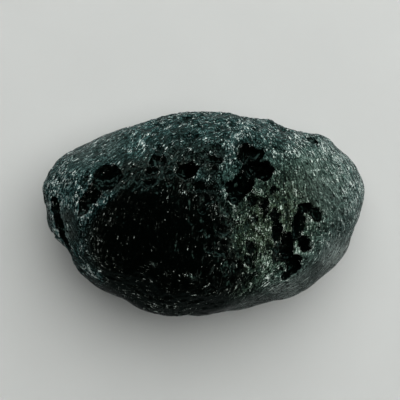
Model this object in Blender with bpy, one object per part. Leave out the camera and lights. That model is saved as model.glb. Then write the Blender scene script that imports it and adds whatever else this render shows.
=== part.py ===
"""A tektite: one rounded lump of black-green natural glass, with flattened faces, deep
bubble pits on its crown and a flow lip folded over at its left end.

Units are metres. +Z is up, +X runs along the lump, and the origin is on the ground under
the middle of its outline. Run it in Blender 4.5, from the text editor or in the background.
"""

import math

import bmesh
import bpy
import numpy as np
from mathutils import Matrix, Vector, noise
from mathutils.bvhtree import BVHTree

# ---- Driving dimensions -------------------------------------------------------------

RIM_HEIGHT = 0.0118  # the widest outline, above the ground
CROWN = 0.0142  # how far the rounded top would rise above that outline
BELLY = 0.0124  # how far the rounded underside would reach below it
FULLNESS = 2.3  # 2 is an ellipse in section, and more is boxier
BLEND = 0.0016  # how softly a flattened face runs into the round
UPRIGHT = 1.5  # how far a pit on the crown stands upright instead of square to the skin
CELL = 0.0017  # spacing of the surface grid
WIDE_PIT = 0.0036  # a pit at least this wide gets a finer ball

# The outline seen from above, as points going round to the left from the right-hand end.
RIM = (
    # blunt right end and its high shoulder
    (0.0264, 0.0000), (0.0270, 0.0044), (0.0256, 0.0082), (0.0228, 0.0112), (0.0199, 0.0133),
    # upper edge, with a dip on each side of the flow ridge
    (0.0173, 0.0137), (0.0140, 0.0144), (0.0112, 0.0158), (0.0092, 0.0161), (0.0070, 0.0164),
    (0.0043, 0.0174), (0.0009, 0.0177), (-0.0068, 0.0168), (-0.0090, 0.0158), (-0.0118, 0.0149),
    (-0.0162, 0.0136), (-0.0213, 0.0115),
    # left end: the lip, and the step under it
    (-0.0249, 0.0095), (-0.0267, 0.0067), (-0.0272, 0.0040), (-0.0266, 0.0010), (-0.0255, -0.0029),
    (-0.0232, -0.0062), (-0.0219, -0.0087),
    # lower edge
    (-0.0198, -0.0111), (-0.0167, -0.0131), (-0.0131, -0.0145), (-0.0102, -0.0163),
    (-0.0068, -0.0173), (-0.0025, -0.0173), (0.0078, -0.0160), (0.0132, -0.0147),
    (0.0174, -0.0131), (0.0208, -0.0106), (0.0238, -0.0076), (0.0248, -0.0040),
)

# Flattened faces: a point on each, and the azimuth and tilt from vertical that it faces.
FACES = {
    "crown": ((-0.008, -0.003, 0.0249), 250, 6),
    "right_shoulder": ((0.013, -0.003, 0.0229), 350, 15),
    "left_end": ((-0.022, 0.000, 0.0199), 183, 36),
    "upper_left": ((-0.014, 0.0095, 0.0207), 112, 38),
    "lower_right": ((0.0226, -0.0097, 0.0126), 322, 78),
    "underside_left": ((-0.017, 0.002, 0.0035), 175, 148),
    "underside_right": ((0.015, 0.004, 0.0022), 20, 158),
}

# Welts on the crown: the plan positions of the two ends, half width and height.
RIDGES = {
    "left_welt": ((-0.0206, -0.0006), (-0.0136, 0.0040), 0.0013, 0.0006),
    "flow_welt": ((0.0066, 0.0142), (0.0060, 0.0112), 0.0012, 0.0005),
    "clover_wall": ((0.0028, 0.0034), (0.0049, 0.0008), 0.0013, 0.0005),
    "spine": ((0.0028, 0.0010), (0.0016, -0.0125), 0.0032, 0.0005),
    "lip": ((-0.0264, 0.0042), (-0.0248, -0.0046), 0.0012, 0.0004),
    "hook_wall": ((0.0182, -0.0022), (0.0186, -0.0078), 0.0012, 0.0005),
}

# Pits on the crown: plan position, length, width, depth and the heading of the length.
CROWN_PITS = {
    "left_bowl": (-0.0162, 0.0062, 0.0050, 0.0047, 0.0021, 40),
    "left_trough": (-0.0198, 0.0018, 0.0054, 0.0023, 0.0013, 57),
    "left_link": (-0.0184, 0.0040, 0.0036, 0.0026, 0.0012, 57),
    "left_groove": (-0.0205, 0.0057, 0.0048, 0.0016, 0.0004, 57),
    "west_bowl": (-0.0078, 0.0090, 0.0030, 0.0023, 0.0009, 10),
    "west_slot": (-0.0088, 0.0070, 0.0026, 0.0015, 0.0006, 5),
    "west_dimple": (-0.0091, 0.0052, 0.0022, 0.0013, 0.0006, 20),
    "middle_bowl": (-0.0029, 0.0072, 0.0036, 0.0027, 0.0019, 10),
    "middle_dimple": (-0.0012, 0.0044, 0.0024, 0.0018, 0.0009, 0),
    "middle_slot": (0.0014, 0.0090, 0.0030, 0.0012, 0.0009, 170),
    "clover_stem": (0.0074, 0.0096, 0.0046, 0.0030, 0.0023, 105),
    "clover_neck": (0.0076, 0.0074, 0.0034, 0.0026, 0.0024, 0),
    "clover_east": (0.0097, 0.0071, 0.0036, 0.0030, 0.0028, 0),
    "clover_heart": (0.0061, 0.0047, 0.0052, 0.0034, 0.0032, 56),
    "clover_tail": (0.0051, 0.0029, 0.0029, 0.0022, 0.0026, 75),
    "clover_west": (0.0043, 0.0043, 0.0024, 0.0018, 0.0022, 90),
    "clover_satellite": (0.0076, 0.0025, 0.0013, 0.0011, 0.0009, 0),
    "clover_slot": (0.0092, 0.0015, 0.0024, 0.0012, 0.0009, 95),
    "hook_tip": (0.0184, -0.0002, 0.0024, 0.0016, 0.0014, 120),
    "hook_bend": (0.0167, 0.0011, 0.0024, 0.0017, 0.0015, 20),
    "hook_shaft": (0.0154, -0.0018, 0.0052, 0.0016, 0.0018, 78),
    "gouge_top": (0.0114, -0.0002, 0.0022, 0.0012, 0.0008, 80),
    "gouge_west": (0.0120, -0.0033, 0.0044, 0.0018, 0.0013, 95),
    "gouge_west_foot": (0.0122, -0.0061, 0.0034, 0.0016, 0.0010, 82),
    "gouge_middle": (0.0137, -0.0056, 0.0052, 0.0023, 0.0024, 86),
    "gouge_east": (0.0164, -0.0050, 0.0029, 0.0019, 0.0019, 108),
    "gouge_tail": (0.0148, -0.0084, 0.0038, 0.0023, 0.0021, 68),
    "gouge_tip": (0.0135, -0.0105, 0.0017, 0.0013, 0.0010, 60),
    "crown_slot": (0.0083, -0.0006, 0.0020, 0.0009, 0.0006, 60),
    "east_dimple": (0.0112, 0.0040, 0.0014, 0.0011, 0.0008, 90),
    "south_dimple": (0.0074, -0.0053, 0.0020, 0.0012, 0.0009, 90),
    "south_slot": (0.0074, -0.0076, 0.0021, 0.0011, 0.0008, 95),
    "south_west_dimple": (0.0052, -0.0088, 0.0026, 0.0016, 0.0009, 60),
    "lip_crease_top": (-0.0252, 0.0010, 0.0040, 0.0021, 0.0013, 98),
    "lip_crease_middle": (-0.0246, -0.0019, 0.0046, 0.0021, 0.0015, 104),
    "lip_crease_bottom": (-0.0236, -0.0047, 0.0042, 0.0015, 0.0012, 110),
    "north_east_dent": (0.0180, 0.0125, 0.0026, 0.0015, 0.0008, 155),
}

# Pits round the flanks and underneath: azimuth, elevation, then as above.
FLANK_PITS = {
    "north_flank_bowl": (78, -12, 0.0042, 0.0034, 0.0012, 20),
    "north_flank_pair": (66, -20, 0.0026, 0.0022, 0.0009, 0),
    "north_west_bowl": (132, 4, 0.0034, 0.0028, 0.0009, 60),
    "north_west_slot": (118, -28, 0.0048, 0.0018, 0.0010, 15),
    "west_low_bowl": (176, -30, 0.0036, 0.0032, 0.0011, 0),
    "south_west_slot": (222, -14, 0.0044, 0.0017, 0.0009, 150),
    "south_west_bowl": (236, -34, 0.0030, 0.0027, 0.0010, 0),
    "south_flank_bowl": (268, -4, 0.0038, 0.0031, 0.0011, 30),
    "south_flank_slot": (286, -30, 0.0050, 0.0019, 0.0010, 170),
    "south_east_bowl": (318, -40, 0.0034, 0.0030, 0.0011, 0),
    "east_end_bowl": (4, -6, 0.0030, 0.0026, 0.0009, 80),
    "east_end_slot": (12, -34, 0.0046, 0.0020, 0.0011, 100),
    "north_east_bowl": (42, -10, 0.0036, 0.0030, 0.0010, 45),
    "belly_bowl": (30, -58, 0.0040, 0.0034, 0.0010, 0),
    "belly_slot": (150, -56, 0.0052, 0.0022, 0.0009, 130),
}

# Broad lumps and finer ripples: wavelength and height of the noise, and where it is read.
SWELLS = ((0.0095, 0.0006, (3.1, 7.7, 1.9)), (0.0042, 0.0003, (11.3, 2.4, 5.6)))

GLASS_GREEN_BLACK = (0.012, 0.022, 0.019, 1.0)
GLASS_ROUGHNESS = 0.42


# ---- Form of the lump ---------------------------------------------------------------


def rim_radius(azimuth):
    """Distance from the middle to the outline, by a smooth closed curve through RIM."""
    points = np.array(RIM)
    angles = np.arctan2(points[:, 1], points[:, 0]) % math.tau
    order = np.argsort(angles)
    angles = angles[order]
    radii = np.hypot(points[:, 0], points[:, 1])[order]
    angles = np.concatenate([angles[-2:] - math.tau, angles, angles[:2] + math.tau])
    radii = np.concatenate([radii[-2:], radii, radii[:2]])
    slopes = np.gradient(radii, angles)
    azimuth = azimuth % math.tau
    left = np.searchsorted(angles, azimuth, side="right") - 1
    step = angles[left + 1] - angles[left]
    t = (azimuth - angles[left]) / step
    return (
        radii[left] * (1 + 2 * t) * (1 - t) ** 2
        + radii[left + 1] * t**2 * (3 - 2 * t)
        + step * slopes[left] * t * (1 - t) ** 2
        + step * slopes[left + 1] * t**2 * (t - 1)
    )


def facing(azimuth, tilt):
    """Unit vector leaning tilt degrees from vertical towards an azimuth in degrees."""
    turn, lean = math.radians(azimuth), math.radians(tilt)
    return np.array([math.sin(lean) * math.cos(turn), math.sin(lean) * math.sin(turn), math.cos(lean)])


def flattened(reach, direction):
    """Reach of the lump along each direction once its flattened faces are taken off."""
    centre = np.array([0, 0, RIM_HEIGHT])
    for point, azimuth, tilt in FACES.values():
        normal = facing(azimuth, tilt)
        towards = np.maximum(direction @ normal, 1e-6)
        plane = np.dot(np.array(point) - centre, normal) / towards
        overlap = np.maximum(BLEND - np.abs(reach - plane), 0)
        reach = np.minimum(reach, plane) - overlap**2 / (4 * BLEND)
    return reach


def swell(points):
    """Height of the natural lumps at each point of the surface."""
    height = np.zeros(len(points))
    for wavelength, amplitude, offset in SWELLS:
        places = points / wavelength + offset
        height += [amplitude * noise.noise(Vector(place)) for place in places]
    return height


def welt(points):
    """Height of the raised welts at each point of the crown, by plan distance."""
    height = np.zeros(len(points))
    for start, end, width, rise in RIDGES.values():
        run = np.subtract(end, start)
        along = np.clip((points[:, :2] - start) @ run / (run @ run), 0, 1)
        gap = np.linalg.norm(points[:, :2] - start - along[:, None] * run, axis=1)
        height += rise * np.exp(-((gap / width) ** 2))
    return np.where(points[:, 2] > RIM_HEIGHT, height, 0)


def surface(direction):
    """Points of the lump's skin, before pitting, along unit vectors from its middle."""
    across = np.hypot(direction[:, 0], direction[:, 1])
    rim = rim_radius(np.arctan2(direction[:, 1], direction[:, 0]))
    rise = np.where(direction[:, 2] > 0, CROWN, BELLY)
    section = (across / rim) ** FULLNESS + (np.abs(direction[:, 2]) / rise) ** FULLNESS
    reach = flattened(section ** (-1 / FULLNESS), direction)
    centre = np.array([0, 0, RIM_HEIGHT])
    bare = centre + direction * reach[:, None]
    reach = reach + swell(bare) + welt(bare)
    to_ground = RIM_HEIGHT / np.maximum(-direction[:, 2], 1e-6)
    points = centre + direction * np.minimum(reach, to_ground)[:, None]
    points[reach >= to_ground, 2] = 0
    return points


def box_grid(size, cell):
    """A cube cut into cells about as long as cell would be on a box of this size."""
    grid = bmesh.new()
    bmesh.ops.create_cube(grid, size=2)
    for axis, length in enumerate(size):
        along = [e for e in grid.edges if abs((e.verts[0].co - e.verts[1].co)[axis]) > 1e-6]
        bmesh.ops.subdivide_edges(grid, edges=along, cuts=round(length / cell) - 1)
    return grid


def round_off(cube):
    """Spreads points of a cube's faces evenly over the unit sphere."""
    squares = cube**2
    share = np.empty_like(cube)
    for axis in range(3):
        b, c = squares[:, axis - 2], squares[:, axis - 1]
        share[:, axis] = cube[:, axis] * np.sqrt(1 - b / 2 - c / 2 + b * c / 3)
    return share


def lump_mesh(cell):
    """The whole lump without its pits."""
    half = np.array([max(x for x, _ in RIM), max(y for _, y in RIM), (CROWN + BELLY) / 2])
    grid = box_grid(half * 1.8, cell)
    cube = np.array([vertex.co for vertex in grid.verts])
    direction = round_off(cube) * half
    direction /= np.linalg.norm(direction, axis=1, keepdims=True)
    for vertex, point in zip(grid.verts, surface(direction)):
        vertex.co = point
    mesh = bpy.data.meshes.new("tektite")
    grid.to_mesh(mesh)
    grid.free()
    return mesh


# ---- Pits ---------------------------------------------------------------------------


def pit_frame(tree, origin, ray, length, width, depth, heading):
    """Matrix that sets a unit ball on the skin where a ray from origin meets it."""
    place, normal, _, _ = tree.ray_cast(origin, ray)
    turn = math.radians(heading)
    along = Vector((math.cos(turn), math.sin(turn), 0))
    if ray.z < -0.9:
        normal = (normal - UPRIGHT * ray).normalized()
    else:  # on a flank the heading is measured from level, round the lump
        level = Vector((-ray.y, ray.x, 0)).normalized()
        along = level * math.cos(turn) + Vector((0, 0, math.sin(turn)))
    side = normal.cross(along).normalized()
    along = side.cross(normal)
    turned = Matrix((along, side, normal)).transposed().to_4x4()
    return Matrix.Translation(place) @ turned @ Matrix.Diagonal((length / 2, width / 2, depth, 1))


def pit_frames(mesh):
    """Name and matrix of every pit on the lump."""
    tree = BVHTree.FromPolygons(
        [vertex.co for vertex in mesh.vertices], [list(face.vertices) for face in mesh.polygons]
    )
    high = CROWN + BELLY + RIM_HEIGHT
    for name, (x, y, *shape) in CROWN_PITS.items():
        yield name, pit_frame(tree, Vector((x, y, high)), Vector((0, 0, -1)), *shape)
    centre = Vector((0, 0, RIM_HEIGHT))
    for name, (azimuth, elevation, *shape) in FLANK_PITS.items():
        outward = Vector(facing(azimuth, 90 - elevation))
        yield name, pit_frame(tree, centre + outward * 0.1, -outward, *shape)


def pit_cutters(mesh):
    """One ball for each pit, in a collection that the render leaves out."""
    cutters = bpy.data.collections.new("tektite_cutters")
    bpy.context.scene.collection.children.link(cutters)
    for name, frame in pit_frames(mesh):
        ball = bmesh.new()
        width = 2 * frame.col[1].length
        bmesh.ops.create_icosphere(ball, subdivisions=3 if width >= WIDE_PIT else 2, radius=1)
        ball.transform(frame)
        ball_mesh = bpy.data.meshes.new(name)
        ball.to_mesh(ball_mesh)
        ball.free()
        cutter = bpy.data.objects.new(name, ball_mesh)
        cutter.hide_render = True
        cutter.display_type = "WIRE"
        cutters.objects.link(cutter)
    return cutters


# ---- Assembly -----------------------------------------------------------------------


def glass():
    """Natural glass, nearly black, with a satin etched skin."""
    material = bpy.data.materials.new("tektite_glass")
    material.use_nodes = True
    shader = material.node_tree.nodes["Principled BSDF"]
    shader.inputs["Base Color"].default_value = GLASS_GREEN_BLACK
    shader.inputs["Roughness"].default_value = GLASS_ROUGHNESS
    shader.inputs["Metallic"].default_value = 0.0
    return material


def build_tektite():
    """The lump, pitted and smooth shaded."""
    collection = bpy.data.collections.new("tektite_specimen")
    bpy.context.scene.collection.children.link(collection)
    mesh = lump_mesh(CELL)
    mesh.materials.append(glass())
    mesh.shade_smooth()
    mesh.set_sharp_from_angle(angle=math.radians(35))
    tektite = bpy.data.objects.new("tektite", mesh)
    collection.objects.link(tektite)
    pitting = tektite.modifiers.new("Bubble pits", "BOOLEAN")
    pitting.operation = "DIFFERENCE"
    pitting.operand_type = "COLLECTION"
    pitting.collection = pit_cutters(mesh)
    return tektite


def main():
    for leftover in list(bpy.data.objects):
        bpy.data.objects.remove(leftover)
    build_tektite()


main()
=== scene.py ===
"""A tektite on a pale studio floor: the pitted skin of the lump, its glass and its light.

Units are metres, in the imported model's own frame: +Z up, +X along the lump.
"""

import math

import bmesh
import bpy
import numpy as np
from bpy.props import FloatProperty, FloatVectorProperty, IntProperty, PointerProperty
from mathutils import Matrix, Vector, noise
from mathutils.bvhtree import BVHTree
from mathutils.kdtree import KDTree


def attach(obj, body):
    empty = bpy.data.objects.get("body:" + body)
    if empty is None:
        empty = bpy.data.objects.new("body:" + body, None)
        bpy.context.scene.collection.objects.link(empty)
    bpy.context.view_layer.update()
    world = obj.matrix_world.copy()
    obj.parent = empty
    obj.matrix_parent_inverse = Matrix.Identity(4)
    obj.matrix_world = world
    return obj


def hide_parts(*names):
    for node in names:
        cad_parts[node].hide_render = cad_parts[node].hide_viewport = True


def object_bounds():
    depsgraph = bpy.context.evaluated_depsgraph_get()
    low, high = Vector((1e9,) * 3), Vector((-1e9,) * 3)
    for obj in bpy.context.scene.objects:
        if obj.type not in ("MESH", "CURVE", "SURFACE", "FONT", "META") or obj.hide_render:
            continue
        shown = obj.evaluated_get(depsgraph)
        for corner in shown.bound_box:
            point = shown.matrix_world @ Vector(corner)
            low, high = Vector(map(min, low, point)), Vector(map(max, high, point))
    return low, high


bl_info = {
    "name": "Tektite specimen",
    "version": (1, 0, 0),
    "blender": (4, 5, 0),
    "location": "3D View > Sidebar > Tektite",
    "description": "A pitted lump of black-green natural glass on a pale studio floor",
    "category": "Add Mesh",
}

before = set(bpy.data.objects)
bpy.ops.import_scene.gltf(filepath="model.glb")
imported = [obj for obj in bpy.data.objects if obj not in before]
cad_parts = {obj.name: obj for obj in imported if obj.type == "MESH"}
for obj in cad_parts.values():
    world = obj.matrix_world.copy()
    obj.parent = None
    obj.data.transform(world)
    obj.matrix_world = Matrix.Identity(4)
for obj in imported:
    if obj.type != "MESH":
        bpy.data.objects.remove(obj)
CAD_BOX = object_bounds()
LENGTH = CAD_BOX[1][0] - CAD_BOX[0][0]
MM = 0.001

# ---- Form of the lump ---------------------------------------------------------------

RIM_HEIGHT = 0.0118  # the widest outline, above the ground
CROWN = 0.0142  # how far the rounded top would rise above that outline
BELLY = 0.0124  # how far the rounded underside would reach below it
FULLNESS = 2.3  # 2 is an ellipse in section, and more is boxier
BLEND = 0.0016  # how softly a flattened face runs into the round
UPRIGHT = 1.5  # how far a pit on the crown stands upright instead of square to the skin
CLOSER = 0.28  # how much closer the grid is on the crown than underneath
GRID_BOX = 1.8  # sides of the box that the grid is counted on, against half the lump's own
AFAR = 0.1  # a distance well outside the lump
RAGGED = 0.0005  # how far the outline of a small pit strays from a plain oval
NAMED_RAGGED = 0.6 * RAGGED  # and the outline of a named one
WAVER = 0.0011  # wavelength of that straying

# The outline seen from above, as points going round to the left from the right-hand end.
RIM = (
    # blunt right end and its high shoulder
    (0.0264, 0.0000), (0.0270, 0.0044), (0.0256, 0.0082), (0.0228, 0.0112), (0.0199, 0.0133),
    # upper edge, with a dip on each side of the flow ridge
    (0.0173, 0.0137), (0.0140, 0.0144), (0.0112, 0.0158), (0.0092, 0.0161), (0.0070, 0.0164),
    (0.0043, 0.0174), (0.0009, 0.0177), (-0.0068, 0.0168), (-0.0090, 0.0158), (-0.0118, 0.0149),
    (-0.0162, 0.0136), (-0.0213, 0.0115),
    # left end: the lip, and the step under it
    (-0.0249, 0.0095), (-0.0267, 0.0067), (-0.0272, 0.0040), (-0.0266, 0.0010), (-0.0255, -0.0029),
    (-0.0232, -0.0062), (-0.0219, -0.0087),
    # lower edge
    (-0.0198, -0.0111), (-0.0167, -0.0131), (-0.0131, -0.0145), (-0.0102, -0.0163),
    (-0.0068, -0.0173), (-0.0025, -0.0173), (0.0078, -0.0160), (0.0132, -0.0147),
    (0.0174, -0.0131), (0.0208, -0.0106), (0.0238, -0.0076), (0.0248, -0.0040),
)

# Flattened faces: a point on each, and the azimuth and tilt from vertical that it faces.
FACES = {
    "crown": ((-0.008, -0.003, 0.0249), 250, 6),
    "right_shoulder": ((0.013, -0.003, 0.0229), 350, 15),
    "left_end": ((-0.022, 0.000, 0.0199), 183, 36),
    "upper_left": ((-0.014, 0.0095, 0.0207), 112, 38),
    "lower_right": ((0.0226, -0.0097, 0.0126), 322, 78),
    "underside_left": ((-0.017, 0.002, 0.0035), 175, 148),
    "underside_right": ((0.015, 0.004, 0.0022), 20, 158),
}

# Welts on the crown: the plan positions of the two ends, half width and height.
WELTS = {
    "left_welt": ((-0.0206, -0.0006), (-0.0136, 0.0040), 0.0013, 0.0006),
    "flow_welt": ((0.0066, 0.0142), (0.0060, 0.0112), 0.0012, 0.0005),
    "clover_wall": ((0.0028, 0.0034), (0.0049, 0.0008), 0.0013, 0.0005),
    "spine": ((0.0028, 0.0010), (0.0016, -0.0125), 0.0032, 0.0005),
    "lip": ((-0.0264, 0.0042), (-0.0248, -0.0046), 0.0012, 0.0004),
    "hook_wall": ((0.0182, -0.0022), (0.0186, -0.0078), 0.0012, 0.0005),
}

# Broad lumps and finer ripples: wavelength and height of the noise, and where it is read.
SWELLS = ((0.0095, 0.0006, (3.1, 7.7, 1.9)), (0.0042, 0.0003, (11.3, 2.4, 5.6)))

# ---- Named pits ---------------------------------------------------------------------

# On the crown: plan position, length, width, depth and the heading of the length.
CROWN_PITS = {
    "left_bowl": (-0.0162, 0.0062, 0.0050, 0.0047, 0.0021, 40),
    "left_trough": (-0.0198, 0.0018, 0.0054, 0.0023, 0.0013, 57),
    "left_link": (-0.0184, 0.0040, 0.0036, 0.0026, 0.0012, 57),
    "left_groove": (-0.0205, 0.0057, 0.0048, 0.0016, 0.0004, 57),
    "west_bowl": (-0.0078, 0.0090, 0.0030, 0.0023, 0.0009, 10),
    "west_slot": (-0.0088, 0.0070, 0.0026, 0.0015, 0.0006, 5),
    "west_dimple": (-0.0091, 0.0052, 0.0022, 0.0013, 0.0006, 20),
    "middle_bowl": (-0.0029, 0.0072, 0.0036, 0.0027, 0.0019, 10),
    "middle_dimple": (-0.0012, 0.0044, 0.0024, 0.0018, 0.0009, 0),
    "middle_slot": (0.0014, 0.0090, 0.0030, 0.0012, 0.0009, 170),
    "clover_stem": (0.0074, 0.0096, 0.0046, 0.0030, 0.0023, 105),
    "clover_neck": (0.0076, 0.0074, 0.0034, 0.0026, 0.0024, 0),
    "clover_east": (0.0097, 0.0071, 0.0036, 0.0030, 0.0028, 0),
    "clover_heart": (0.0061, 0.0047, 0.0052, 0.0034, 0.0032, 56),
    "clover_tail": (0.0051, 0.0029, 0.0029, 0.0022, 0.0026, 75),
    "clover_west": (0.0043, 0.0043, 0.0024, 0.0018, 0.0022, 90),
    "clover_satellite": (0.0076, 0.0025, 0.0013, 0.0011, 0.0009, 0),
    "clover_slot": (0.0092, 0.0015, 0.0024, 0.0012, 0.0009, 95),
    "hook_tip": (0.0184, -0.0002, 0.0024, 0.0016, 0.0014, 120),
    "hook_bend": (0.0167, 0.0011, 0.0024, 0.0017, 0.0015, 20),
    "hook_shaft": (0.0154, -0.0018, 0.0052, 0.0016, 0.0018, 78),
    "gouge_top": (0.0114, -0.0002, 0.0022, 0.0012, 0.0008, 80),
    "gouge_west": (0.0120, -0.0033, 0.0044, 0.0018, 0.0013, 95),
    "gouge_west_foot": (0.0122, -0.0061, 0.0034, 0.0016, 0.0010, 82),
    "gouge_middle": (0.0137, -0.0056, 0.0052, 0.0023, 0.0024, 86),
    "gouge_east": (0.0164, -0.0050, 0.0029, 0.0019, 0.0019, 108),
    "gouge_tail": (0.0148, -0.0084, 0.0038, 0.0023, 0.0021, 68),
    "gouge_tip": (0.0135, -0.0105, 0.0017, 0.0013, 0.0010, 60),
    "crown_slot": (0.0083, -0.0006, 0.0020, 0.0009, 0.0006, 60),
    "east_dimple": (0.0112, 0.0040, 0.0014, 0.0011, 0.0008, 90),
    "south_dimple": (0.0074, -0.0053, 0.0020, 0.0012, 0.0009, 90),
    "south_slot": (0.0074, -0.0076, 0.0021, 0.0011, 0.0008, 95),
    "south_west_dimple": (0.0052, -0.0088, 0.0026, 0.0016, 0.0009, 60),
    "lip_crease_top": (-0.0252, 0.0010, 0.0040, 0.0021, 0.0013, 98),
    "lip_crease_middle": (-0.0246, -0.0019, 0.0046, 0.0021, 0.0015, 104),
    "lip_crease_bottom": (-0.0236, -0.0047, 0.0042, 0.0015, 0.0012, 110),
    "north_east_dent": (0.0180, 0.0125, 0.0026, 0.0015, 0.0008, 155),
}

# Round the flanks and underneath: azimuth, elevation, then as above.
FLANK_PITS = {
    "north_flank_bowl": (78, -12, 0.0042, 0.0034, 0.0012, 20),
    "north_flank_pair": (66, -20, 0.0026, 0.0022, 0.0009, 0),
    "north_west_bowl": (132, 4, 0.0034, 0.0028, 0.0009, 60),
    "north_west_slot": (118, -28, 0.0048, 0.0018, 0.0010, 15),
    "west_low_bowl": (176, -30, 0.0036, 0.0032, 0.0011, 0),
    "south_west_slot": (222, -14, 0.0044, 0.0017, 0.0009, 150),
    "south_west_bowl": (236, -34, 0.0030, 0.0027, 0.0010, 0),
    "south_flank_bowl": (268, -4, 0.0038, 0.0031, 0.0011, 30),
    "south_flank_slot": (286, -30, 0.0050, 0.0019, 0.0010, 170),
    "south_east_bowl": (318, -40, 0.0034, 0.0030, 0.0011, 0),
    "east_end_bowl": (4, -6, 0.0030, 0.0026, 0.0009, 80),
    "east_end_slot": (12, -34, 0.0046, 0.0020, 0.0011, 100),
    "north_east_bowl": (42, -10, 0.0036, 0.0030, 0.0010, 45),
    "belly_bowl": (30, -58, 0.0040, 0.0034, 0.0010, 0),
    "belly_slot": (150, -56, 0.0052, 0.0022, 0.0009, 130),
}

# ---- Scattered pits -----------------------------------------------------------------

# Lengths and depths are shares of a pit's width, and strays are how far its heading wanders.
BUBBLE_LENGTHS, BUBBLE_DEPTHS, BUBBLE_STRAY = (1.0, 1.9), (0.28, 0.5), 0.35
BUBBLE_RARITY = 1.9  # 1 has as many wide ones as narrow ones, and more has fewer wide ones
PORE_WIDTHS = (0.00042, 0.00085)
PORE_LENGTHS, PORE_DEPTHS, PORE_STRAY = (1.0, 2.8), (0.12, 0.26), 0.25

# How much the depths of named pits, bubble pits and pores count towards the painted shade that darkens
# a hollow.
NAMED_SHADE, BUBBLE_SHADE, PORE_SHADE = 1.4, 0.35, 0.2

# ---- Skin ---------------------------------------------------------------------------

COARSE_GRAIN, FINE_GRAIN = 0.00085, 0.00047  # wavelengths of the relief
STREAK_WIDTH, STREAK_RUN = 0.00052, 0.0006  # of the streaks in the relief
WORN_EDGE = 0.00009  # how far a fully worn edge stands proud of the skin around it
FLOW_REACH = 0.0035  # how far a heading of the flow carries
PLAIN_FROST = -4.7  # frost away from every patch, in doublings from white
DRIFT, DRIFT_WIDTH = 2.6, 0.0085  # how far the frost drifts below the crown, and how broadly
HIGHLIGHT_BREAK_WAVELENGTH = 0.0014  # wavelength of the breaks in a painted ridge highlight

# The way the glass flowed, as plan positions and headings in degrees.
FLOW = (
    # left end and upper left
    (-0.0245, 0.0060, 55), (-0.0205, 0.0060, 57), (-0.0165, 0.0105, 38), (-0.0165, 0.0040, 56),
    (-0.0125, 0.0100, 80), (-0.0125, 0.0020, 72), (-0.0083, 0.0115, 78), (-0.0240, -0.0010, 98),
    (-0.0165, -0.0040, 76),
    # upper edge
    (-0.0040, 0.0130, 30), (0.0010, 0.0140, 25), (0.0040, 0.0115, 88), (0.0100, 0.0115, 110),
    # right end
    (0.0165, 0.0080, 112), (0.0165, 0.0040, 105), (0.0205, 0.0040, 137), (0.0245, 0.0010, 143),
    (0.0205, 0.0010, 106), (0.0205, -0.0045, 70), (0.0205, -0.0095, 40), (0.0125, -0.0130, 30),
    # middle
    (-0.0020, 0.0070, 75), (0.0040, 0.0030, 84), (0.0100, 0.0000, 78), (0.0165, -0.0010, 80),
    (0.0100, -0.0050, 84), (0.0060, -0.0110, 80), (-0.0020, -0.0060, 85), (-0.0100, -0.0030, 90),
    # lower edge
    (-0.0205, -0.0095, 156), (-0.0135, -0.0125, 168), (-0.0080, -0.0145, 160), (-0.0020, -0.0165, 9),
)

# Patches by how strongly they are pitted: plan position, radius and strength (-1 is smooth).
PATCHES = (
    (0.009, -0.004, 0.0085, 0.9), (0.004, 0.008, 0.0070, 0.5), (-0.008, -0.005, 0.0100, -0.9),
    (0.019, 0.006, 0.0070, -0.6), (0.021, -0.0105, 0.0040, -0.9), (0.012, -0.0145, 0.0036, -0.9),
    (0.003, -0.0165, 0.0034, -0.7), (-0.012, -0.0130, 0.0060, -0.8), (-0.012, 0.0130, 0.0040, -0.3),
    (-0.0245, 0.000, 0.0030, -0.5),
)

# Patches by how frosted they are, which also paint the crown's light and shade: black
# where the crown mirrors a dark room, paler where its faces catch the light. Strengths in halvings or
# doublings of the frost's brightness against the rest of the crown: plan position, radius and
# strength.
FROST_AND_PAINTED_LIGHT = (
    # the bare black middle and the dark ground behind it, painted darker where the crown mirrors a
    # dark room
    (-0.006, -0.005, 0.0105, -9.5), (-0.013, -0.003, 0.0060, -3.2), (-0.006, 0.004, 0.0070, -2.0),
    (-0.0122, 0.0052, 0.0040, -2.8), (-0.013, -0.012, 0.0055, -1.0), (0.002, -0.011, 0.0050, -4.0),
    (-0.005, 0.0095, 0.0045, -1.0), (0.002, 0.0087, 0.0030, -1.8), (-0.0015, 0.0040, 0.0029, 2.1),
    (-0.0010, 0.0064, 0.0013, 1.8), (0.0002, -0.0010, 0.0030, -2.9), (0.0029, -0.0030, 0.0013, 0.9),
    (-0.0152, -0.0042, 0.0025, -0.9), (-0.0078, 0.0089, 0.0015, 2.2), (-0.0090, 0.0060, 0.0016, 1.6),
    # the pitted right half
    (0.006, 0.001, 0.0055, 1.4), (0.0036, 0.0060, 0.0022, 1.2), (0.008, -0.004, 0.0040, 1.0),
    (0.0050, -0.0054, 0.0022, 1.0), (0.0092, 0.0030, 0.0020, -1.5), (0.0114, 0.0060, 0.0018, -0.6),
    (0.0078, -0.0078, 0.0042, 1.0), (0.0150, -0.0052, 0.0026, -0.3), (0.0122, -0.0036, 0.0014, 1.4),
    (0.0152, 0.0050, 0.0032, -0.8), (0.0200, -0.0030, 0.0025, -1.0),
    # the right end
    (0.018, 0.009, 0.0070, 1.3), (0.0190, 0.0105, 0.0030, 0.4), (0.0110, 0.0122, 0.0026, -0.7),
    (0.0250, 0.003, 0.0060, 1.3), (0.0225, -0.0075, 0.0040, 2.6), (0.014, -0.0130, 0.0040, 2.5),
    (0.006, -0.0155, 0.0035, 3.0),
    # the upper edge and the left end
    (0.0032, 0.0138, 0.0030, -0.8), (-0.0065, 0.0130, 0.0030, 0.5), (-0.0130, 0.0118, 0.0035, 0.6),
    (-0.0165, 0.0120, 0.0040, 0.7), (-0.020, 0.008, 0.0060, 0.7), (-0.0235, 0.0020, 0.0050, 1.2),
    (-0.0214, 0.0001, 0.0018, -0.8), (-0.0235, -0.0042, 0.0028, 1.5), (-0.0205, -0.010, 0.0030, 0.3),
)

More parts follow.
